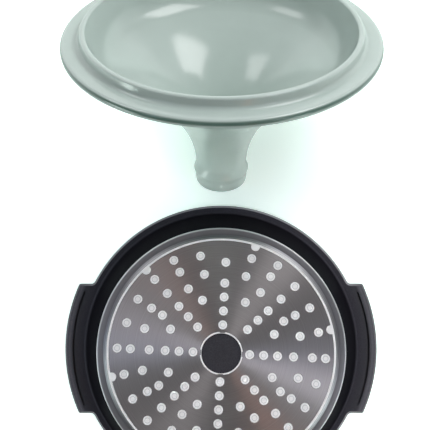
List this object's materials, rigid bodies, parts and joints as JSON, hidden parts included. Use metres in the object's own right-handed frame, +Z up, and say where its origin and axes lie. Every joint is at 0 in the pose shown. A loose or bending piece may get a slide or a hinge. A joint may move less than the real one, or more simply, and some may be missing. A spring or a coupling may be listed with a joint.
{
  "type": "tagine",
  "caption": "Round cooking pot taken apart: shallow two-lug pan lying upside down with a perforated induction plate, and a flared conical glazed lid lying on its side.",
  "frame": {"origin": "on the ground plane, at the centre of the bounding box of the two laid-out parts in plan", "axes": "+Z up; +Y from the upturned pan to the lid behind it, along the layout's length; +X to the right across both lugs; the pan's hob face looks up, and the lid's mouth looks up and back"},
  "size_m": [0.3006, 0.505, 0.2196],
  "materials": {
    "coated_aluminium": "cast aluminium under a black satin cookware coating, turned bare at the bearing ring and the studs",
    "stainless_steel": "stainless steel with fine concentric turning marks",
    "celadon_glaze": "glossy pale grey-green glaze on stoneware"
  },
  "bodies": {
    "base": {"pan": "coated_aluminium", "induction_plate": "stainless_steel"},
    "lid": {"lid": "celadon_glaze"}
  },
  "joints": [
    {"name": "lid_lift", "type": "slide", "parent": "base", "child": "lid", "axis": [0, 0, 1], "range_m": [0, 0.25]}
  ]
}
